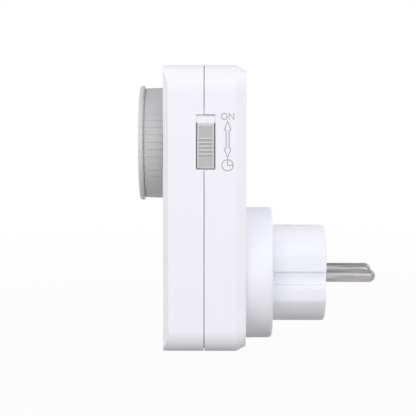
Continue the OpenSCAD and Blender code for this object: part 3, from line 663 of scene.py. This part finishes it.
class Assembly:
    """A group of pieces that belong together."""

    body_of_node: dict[str, str] = {
        node: body
        for body, nodes in frame["record"]["behaviour"]["bodies"].items()
        for node in nodes
    }

    def finish(self, piece: bpy.types.Object, finish: Finish, body: str) -> bpy.types.Object:
        """Gives a piece its material and lets it ride on a body.

        Args:
            piece: The piece, in place.
            finish: Its finish.
            body: The body's name.

        Returns:
            The piece.
        """
        piece.data.materials.append(Paints.of(finish))
        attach(piece, body)
        log.info("%s: %s rides on %s", type(self).__name__, piece.name, body)
        return piece

    def dress(self, item: Dress) -> bpy.types.Object:
        """Builds the piece that stands for one solid.

        Args:
            item: The solid's node and how it is finished.

        Returns:
            The piece.
        """
        return self.put(softened(f"{item.node}_piece", item), item)

    def put(self, piece: bpy.types.Object, item: Dress) -> bpy.types.Object:
        """Finishes a piece and lets it stand for its solid."""
        self.finish(piece, item.finish, self.body_of_node[item.node])
        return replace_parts(piece, item.node)

    def dress_all(self, items: Sequence[Dress]) -> None:
        """Builds the pieces of several solids."""
        for item in items:
            self.dress(item)


@dataclass
class Housing(Assembly):
    """The two covers and their screws, with the marks beside the slide switch."""

    side_face: float = 30.0
    mark_y: float = -37.4
    stroke: float = 0.34
    rise: float = 0.03
    solids: tuple[Dress, ...] = (
        Dress("front_cover", SHELL, 0.35, 3, (Edging(0.3, y=-46.2),), joined=False),
        Dress("rear_cover", SHELL, 0.3, 3, (Edging(0.3, y=-45.8),)),
        Dress("housing_screws", STEEL, 0.15),
    )

    def build(self) -> None:
        """Builds the covers, the screws and the marks."""
        self.dress_all(self.solids)
        self.on_mark()
        self.travel_arrow()
        self.clock_mark()

    def mark(self, name: str, paths: Sequence[tuple[Sequence[Point], bool]]) -> None:
        """Prints lines on the +X wall as one piece.

        Args:
            name: Name of the piece.
            paths: Each line's points in millimetres, along Y and up Z, and whether it closes.
        """
        bm = bmesh.new()
        place = side_plane(self.side_face * MM)
        for path, closed in paths:
            ribbon(bm, path, self.stroke, closed, place, self.rise)
        self.finish(mesh_object(name, bm), GREY_INK, "housing")

    def on_mark(self) -> None:
        """Prints the word at the upper end of the switch's travel."""
        low, high = 60.25, 62.55
        ring_y, ring_half, ring_points = self.mark_y - 1.25, 1.0, 28
        left, right, overrun = self.mark_y + 0.55, self.mark_y + 2.25, 0.1
        ring = ring_path(ring_y, (low + high) / 2, ring_half, (high - low) / 2, ring_points)
        letter = [(left, low - overrun), (left, high), (right, low), (right, high + overrun)]
        self.mark("on_mark", [(ring, True), (letter, False)])

    def travel_arrow(self) -> None:
        """Prints the outlined arrow that points both ways."""
        tip, base, shoulder = 6.7, 3.6, 3.1
        wide, narrow = 1.15, 0.55
        middle = 53.0
        quarter = [(0.0, tip), (wide, base), (narrow, shoulder)]
        right = quarter + [(x, -z) for x, z in reversed(quarter)]
        outline = right + [(-x, z) for x, z in reversed(right[1:-1])]
        path = [(self.mark_y + x, middle + z) for x, z in outline]
        self.mark("travel_arrow", [(path, True)])

    def clock_mark(self) -> None:
        """Prints the clock at the lower end of the switch's travel."""
        middle, radius, ring_points = 43.55, 2.05, 40
        ring = ring_path(self.mark_y, middle, radius, radius, ring_points)
        hands = [(self.mark_y, middle + radius), (self.mark_y, middle),
                 (self.mark_y + radius, middle)]
        self.mark("clock_mark", [(ring, True), (hands, False)])


@dataclass
class PlugEnd(Assembly):
    """The plug body with its pins and the strip that earths it."""

    solids: tuple[Dress, ...] = (
        Dress("plug_body", SHELL, 0.25, 3,
              (Edging(7.0, x=16.5, z=-2.5), Edging(0.2, x=16.5, z=2.5))),
        Dress("live_pin", PIN, 0.12),
        Dress("neutral_pin", PIN, 0.12),
        Dress("earth_strap", BRASS, 0.1),
    )

    def build(self) -> None:
        """Builds the plug's pieces."""
        self.dress_all(self.solids)


@dataclass
class SocketEnd(Assembly):
    """The socket's insert, its shutter and the contacts behind it."""

    solids: tuple[Dress, ...] = (
        Dress("socket_insert", INSERT, 0.25, 3),
        Dress("shutter", INNER, 0.15),
        Dress("contact_carrier", INNER, 0.15),
        Dress("live_socket_contact", BRASS, 0.08),
        Dress("neutral_socket_contact", BRASS, 0.08),
        Dress("live_bar", BRASS, 0.1),
        Dress("neutral_bar", BRASS, 0.1),
        Dress("load_bar", BRASS, 0.1),
        Dress("fixed_contact", SILVER, 0.1),
        Dress("contact_arm", BRASS, 0.06),
    )
    spring: Dress = Dress("shutter_spring", STEEL, 0.01)
    spring_foot: tuple[float, float, float] = (0.0, -39.15, -14.85)
    spring_top: float = -3.58
    shutter_travel: float = 6.4

    def build(self) -> None:
        """Builds the socket's pieces."""
        self.dress_all(self.solids)
        self.shutter_spring()

    def shutter_spring(self) -> None:
        """Builds the spring's piece and gives it a mesh of its own."""
        piece = self.dress(self.spring)
        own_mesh(piece)


@dataclass
class SlideSwitch(Assembly):
    """The slide knob on the side, its carriage and the lever that trips the contacts."""

    base_x: float = 29.4
    face_x: float = 30.3
    across: tuple[float, float] = (-48.48, -42.38)
    height: tuple[float, float] = (42.55, 58.9)
    rim: float = 0.58
    head_rim: float = 0.95
    foot_rim: float = 0.3
    sunk: float = 0.15
    groove_width: float = 0.62
    groove_depth: float = 0.55
    groove_pitch: float = 1.42
    rib_width: float = 0.5
    grip_middle: float = 49.9
    stem_x: float = 25.4
    stem_half: float = 1.8
    stem_height: tuple[float, float] = (47.45, 54.45)
    knob: Dress = Dress("switch_knob", KNOB, 0.1, 3)
    solids: tuple[Dress, ...] = (
        Dress("switch_carriage", INNER, 0.12),
        Dress("trip_lever", LEVER, 0.15),
        Dress("lever_pin", STEEL, 0.1),
    )

    def build(self) -> None:
        """Builds the switch's pieces."""
        self.slide_knob()
        self.dress_all(self.solids)

    def slide_knob(self) -> None:
        """Builds the knob with its rim, its sunk panel and its grip grooves."""
        left, right = self.across
        low, high = self.height
        middle_y = (left + right) / 2
        panel_y = (left + self.rim, right - self.rim)
        panel_z = (low + self.foot_rim, high - self.head_rim)
        half = self.groove_width / 2
        middles = [self.grip_middle + k * self.groove_pitch for k in range(-2, 3)]
        grooves = [(middle - half, middle + half) for middle in middles]
        ribs = [(middle + half, middle + half + self.rib_width) for middle in middles]
        stem = (middle_y - self.stem_half, middle_y + self.stem_half)

        def filled(x: float, y: float, z: float) -> bool:
            """Tells whether the knob holds a point."""
            if x < self.base_x:
                return stem[0] < y < stem[1] and self.stem_height[0] < z < self.stem_height[1]
            if not (panel_y[0] < y < panel_y[1] and panel_z[0] < z < panel_z[1]):
                return True
            if any(a < z < b for a, b in grooves):
                return x < self.face_x - self.groove_depth
            if any(a < z < b for a, b in ribs):
                return True
            return x < self.face_x - self.sunk

        xs = (self.stem_x, self.base_x, self.face_x - self.groove_depth,
              self.face_x - self.sunk, self.face_x)
        ys = sorted({left, right, *panel_y, *stem})
        grip_zs = [z for pair in grooves + ribs for z in pair]
        zs = sorted({low, high, *panel_z, *self.stem_height, *grip_zs})
        bm = stepped((xs, ys, zs), filled)
        weigh_edges(bm)
        # The rim's and ribs' outer faces take the lighter copy of the knob's plastic as a painted
        # highlight.
        for face in bm.faces:
            outer = face.calc_center_median().x > (self.face_x - self.sunk / 2) * MM
            face.material_index = 1 if outer else 0
        piece = rounded(mesh_object("slide_knob", bm), self.knob.edge * MM, self.knob.segments)
        self.put(piece, self.knob)
        piece.data.materials.append(Paints.of(KNOB_RIM_PAINTED_HIGHLIGHT))


@dataclass
class Dial(Assembly):
    """The dial: drum, ring of segments, printed face and cap."""

    front_y: float = -61.2
    axis_z: float = 50.1
    face_out: float = 9.2
    cap_out: float = 8.9
    numeral_radius: float = 14.3
    numeral_height: float = 2.3
    numeral_root: float = 0.01
    tick_radii: tuple[float, float] = (16.6, 18.0)
    tick_rise: float = 0.02
    hour_tick: tuple[float, float] = (1.0, 0.22)
    half_tick: tuple[float, float] = (0.6, 0.14)
    quarter_tick: tuple[float, float] = (0.35, 0.14)
    hours: int = 24
    segment_count: int = 12
    solids: tuple[Dress, ...] = (
        Dress("dial_drum", DRUM, 0.15),
        Dress("dial_gear", GEAR, 0.08),
        Dress("dial_face", FACE, 0.12),
        Dress("dial_cap", KNOB, 0.3, 3),
        Dress("dial_clip", STEEL, 0.08),
        Dress("dial_stud", STEEL, 0.2),
    )
    ring_count: int = 48
    ring_spread: float = 1.045
    ring_outside: float = 20.5
    segment_edge: float = 0.13
    lip_root: float = -68.7
    root_width: float = 0.4
    root_depth: float = 0.5

    def build(self) -> None:
        """Builds the dial's pieces."""
        self.dress_all(self.solids)
        self.segment("tappet_set")
        for number in range(1, self.segment_count + 1):
            self.segment(f"tappet_{number:02d}")
        self.hour_print()
        self.turn_arrow()
        self.index_print()

    def segment(self, node: str) -> None:
        """Builds the piece of one segment, or of the ring's fixed ones.

        Args:
            node: The solid's node.
        """
        item = Dress(node, SEGMENT, self.segment_edge, 3)
        bm = solid_mesh(item)
        spread(bm, self.axis_z * MM, self.ring_count, self.ring_spread)
        weigh_edges(bm)
        grooved(bm, self.axis_z * MM, self.lip_root * MM, self.root_width * MM,
                self.root_depth * MM, self.ring_outside * MM)
        # Faces in front of the lip's root take the lighter copy of the plastic as a painted
        # highlight.
        for face in bm.faces:
            face.material_index = 1 if face.calc_center_median().y < self.lip_root * MM else 0
        piece = rounded(mesh_object(f"{node}_piece", bm), item.edge * MM, item.segments)
        self.put(piece, item)
        piece.data.materials.append(Paints.of(SEGMENT_LIP_PAINTED_HIGHLIGHT))

    def tick(self, step: int) -> tuple[float, float]:
        """Tells how long and how wide the tick of one quarter of an hour is.

        Args:
            step: The number of the quarter.

        Returns:
            The length as a share of the longest tick, and the width in millimetres.
        """
        if step % 4 == 0:
            return self.hour_tick
        if step % 2 == 0:
            return self.half_tick
        return self.quarter_tick

    def add_ticks(self, bm: bmesh.types.BMesh, place: Placing) -> None:
        """Adds a tick for each quarter of an hour.

        Args:
            bm: The bmesh that takes the ticks.
            place: Puts a point of the drawing on the dial's face.
        """
        inner, outer = self.tick_radii
        quarters = 4 * self.hours
        for step in range(quarters):
            angle = 2 * math.pi * step / quarters
            length, width = self.tick(step)
            start = outer - (outer - inner) * length
            across, up = math.cos(angle), math.sin(angle)
            path = [(start * across, start * up), (outer * across, outer * up)]
            ribbon(bm, path, width, False, place, self.tick_rise)

    def add_numbers(self, bm: bmesh.types.BMesh, place: Placing) -> None:
        """Adds the hours' numbers, each with its head to the rim.

        Args:
            bm: The bmesh that takes the numbers.
            place: Puts a point of the drawing on the dial's face.
        """
        flip = Matrix(((1, 0, 0, 0), (0, 0, -1, 0), (0, 1, 0, 0), (0, 0, 0, 1)))
        for hour in range(1, self.hours + 1):
            figure = numeral(str(hour), self.numeral_height * MM)
            angle = 2 * math.pi * hour / self.hours
            spot = place(self.numeral_radius * MM * math.cos(angle),
                         self.numeral_radius * MM * math.sin(angle), -self.numeral_root * MM)
            turn = Matrix.Rotation(angle - math.pi / 2, 4, "Z")
            figure.transform(Matrix.Translation(spot) @ flip @ turn)
            mesh = bpy.data.meshes.new("figure")
            figure.to_mesh(mesh)
            bm.from_mesh(mesh)
            figure.free()
            bpy.data.meshes.remove(mesh)

    def hour_print(self) -> None:
        """Prints the hours and their ticks on the dial's face."""
        bm = bmesh.new()
        place = front_plane((self.front_y - self.face_out) * MM, self.axis_z * MM)
        self.add_ticks(bm, place)
        self.add_numbers(bm, place)
        self.finish(mesh_object("hour_print", bm), BLACK_INK, "dial")

    def turn_arrow(self) -> None:
        """Prints the arrow on the cap that shows which way the dial turns."""
        bm = bmesh.new()
        place = front_plane((self.front_y - self.cap_out) * MM, self.axis_z * MM)
        radius, width, rise = 4.1, 0.7, 0.03
        head_half, head_length = 1.0, 1.9
        first, step, count = 150, 8, 15
        sweep = [math.radians(first - step * i) for i in range(count)]
        arc = [(radius * math.cos(a), radius * math.sin(a)) for a in sweep]
        ribbon(bm, arc, width, False, place, rise)
        end = sweep[-1]
        tangent = Vector((math.sin(end), -math.cos(end)))
        outward = Vector((math.cos(end), math.sin(end)))
        root = outward * radius
        side = outward * head_half
        prism(bm, [root + side, root - side, root + tangent * head_length], place, rise)
        self.finish(mesh_object("turn_arrow", bm), WHITE_INK, "dial")

    def index_print(self) -> None:
        """Prints the triangle that the hours are read against."""
        bm = bmesh.new()
        place = front_plane(self.front_y * MM, self.axis_z * MM)
        tip, base, half, rise = 23.05, 25.4, 1.35, 0.02
        prism(bm, [(tip, 0.0), (base, -half), (base, half)], place, rise)
        self.finish(mesh_object("index_print", bm), BLACK_INK, "housing")


@dataclass
class Movement(Assembly):
    """The plate with the gear train and the motor that turns the dial."""

    solids: tuple[Dress, ...] = (
        Dress("movement_plate", INNER, 0.15),
        Dress("plate_screws", STEEL, 0.15),
        Dress("idler_stud", STEEL, 0.1),
        Dress("idler_gear", GEAR, 0.06),
        Dress("motor_front", STEEL, 0.1),
        Dress("motor_can", CAN, 0.5, 4),
        Dress("motor_screws", STEEL, 0.12),
        Dress("motor_pinion", PINION, 0.05),
    )

    def build(self) -> None:
        """Builds the movement's pieces."""
        self.dress_all(self.solids)


@dataclass(frozen=True)
class Softbox:
    """A square lamp: where it is, what it looks at, its size in metres and its power."""

    name: str
    place: tuple[float, float, float]
    size: float
    watts: float


@dataclass
class Studio:
    """The camera, the pale floor and the soft light."""

    camera_place: tuple[float, float, float] = (585.0, -39.86, 81.53)
    pitch: float = 5.525
    yaw: float = -0.483
    roll: float = -0.042
    focal_length: float = 131.64
    floor_z: float = -26.83
    floor_color: Color = (0.335, 0.33, 0.29)
    near_glow: float = 0.965
    near: float = 0.06
    far: float = 0.5
    world_level: float = 0.66
    target: tuple[float, float, float] = (0.0, -0.03, 0.025)
    lamps: tuple[Softbox, ...] = (
        Softbox("side_front_lamp", (1.0, -0.5, 0.15), 0.8, 4.3),
        Softbox("side_rear_lamp", (1.0, 0.5, 0.15), 0.8, 5.3),
        Softbox("side_high_lamp", (1.0, 0.0, 0.9), 0.8, 0.9),
        Softbox("front_lamp", (-0.1, -1.0, 0.35), 0.8, 2.2),
        Softbox("front_high_lamp", (0.5, -0.9, 1.0), 0.8, 0.4),
        Softbox("back_lamp", (-0.3, 0.9, 0.6), 0.8, 2.2),
    )

    def build(self) -> None:
        """Builds the studio."""
        self.camera()
        self.floor()
        self.world()
        for lamp in self.lamps:
            self.lamp(lamp)

    def camera(self) -> None:
        """Puts the camera in its place and makes it the scene's."""
        data = bpy.data.cameras.new("camera")
        data.lens = self.focal_length
        data.sensor_width = 36.0
        data.clip_start, data.clip_end = 0.01, 20.0
        made = bpy.data.objects.new("camera", data)
        pitch, yaw, roll = (math.radians(a) for a in (self.pitch, self.yaw, self.roll))
        forward = Vector((-math.cos(pitch) * math.cos(yaw),
                          math.cos(pitch) * math.sin(yaw), -math.sin(pitch)))
        right = forward.cross(Vector((0, 0, 1))).normalized()
        up = right.cross(forward)
        across = right * math.cos(roll) - up * math.sin(roll)
        upright = right * math.sin(roll) + up * math.cos(roll)
        turn = Matrix((across, upright, -forward)).transposed().to_4x4()
        made.matrix_world = Matrix.Translation(Vector(self.camera_place) * MM) @ turn
        bpy.context.scene.collection.objects.link(made)
        bpy.context.scene.camera = made

    def floor(self) -> None:
        """Lays the floor, which is white to the camera apart from the shadow."""
        bm = bmesh.new()
        bmesh.ops.create_grid(bm, x_segments=1, y_segments=1, size=4.0)
        made = mesh_object("floor", bm)
        made.location = (0.0, 0.0, self.floor_z * MM)
        shader = Shader("floor")
        shader.surface.inputs["Base Color"].default_value = (*self.floor_color, 1.0)
        shader.surface.inputs["Roughness"].default_value = 0.9
        glow = shader.add("ShaderNodeEmission")
        glow.inputs["Strength"].default_value = 1.0
        path = shader.add("ShaderNodeLightPath")
        reach = shader.add("ShaderNodeVectorMath", operation="LENGTH")
        share = shader.add("ShaderNodeMapRange", interpolation_type="SMOOTHSTEP")
        for key, value in (("From Min", self.near), ("From Max", self.far),
                           ("To Min", self.near_glow), ("To Max", 1.0)):
            share.inputs[key].default_value = value
        seen = shader.add("ShaderNodeMath", operation="MAXIMUM")
        glow_share = shader.add("ShaderNodeMath", operation="MULTIPLY")
        mix = shader.add("ShaderNodeMixShader")
        out = shader.tree.nodes["Material Output"]
        links = shader.tree.links
        links.new(shader.place, reach.inputs[0])
        links.new(reach.outputs["Value"], share.inputs["Value"])
        links.new(path.outputs["Is Camera Ray"], seen.inputs[0])
        links.new(path.outputs["Is Glossy Ray"], seen.inputs[1])
        links.new(seen.outputs[0], glow_share.inputs[0])
        links.new(share.outputs["Result"], glow_share.inputs[1])
        links.new(glow_share.outputs[0], mix.inputs[0])
        links.new(shader.surface.outputs[0], mix.inputs[1])
        links.new(glow.outputs[0], mix.inputs[2])
        links.new(mix.outputs[0], out.inputs["Surface"])
        made.data.materials.append(shader.material)

    def world(self) -> None:
        """Makes the even light all round, seen as plain white by the camera."""
        world = bpy.data.worlds.new("world")
        world.use_nodes = True
        tree = world.node_tree
        background = tree.nodes["Background"]
        background.inputs["Color"].default_value = (1.0, 1.0, 1.0, 1.0)
        path = tree.nodes.new("ShaderNodeLightPath")
        level = tree.nodes.new("ShaderNodeMapRange")
        level.inputs["To Min"].default_value = self.world_level
        level.inputs["To Max"].default_value = 1.0
        tree.links.new(path.outputs["Is Camera Ray"], level.inputs["Value"])
        tree.links.new(level.outputs["Result"], background.inputs["Strength"])
        bpy.context.scene.world = world

    def lamp(self, box: Softbox) -> None:
        """Hangs one lamp, turned to the object.

        Args:
            box: The lamp.
        """
        data = bpy.data.lights.new(box.name, "AREA")
        data.shape = "SQUARE"
        data.size = box.size
        data.energy = box.watts
        made = bpy.data.objects.new(box.name, data)
        made.location = box.place
        aim = Vector(self.target) - Vector(box.place)
        made.rotation_euler = aim.to_track_quat("-Z", "Y").to_euler()
        bpy.context.scene.collection.objects.link(made)


def main() -> None:
    """Builds the timer switch and its studio."""
    logging.basicConfig(level=logging.INFO, format="%(name)s: %(message)s")
    scene = bpy.context.scene
    scene.view_settings.view_transform = "Standard"
    Studio().build()
    for assembly in (Housing(), PlugEnd(), SocketEnd(), SlideSwitch(), Dial(), Movement()):
        assembly.build()


if __name__ == "__main__":
    main()
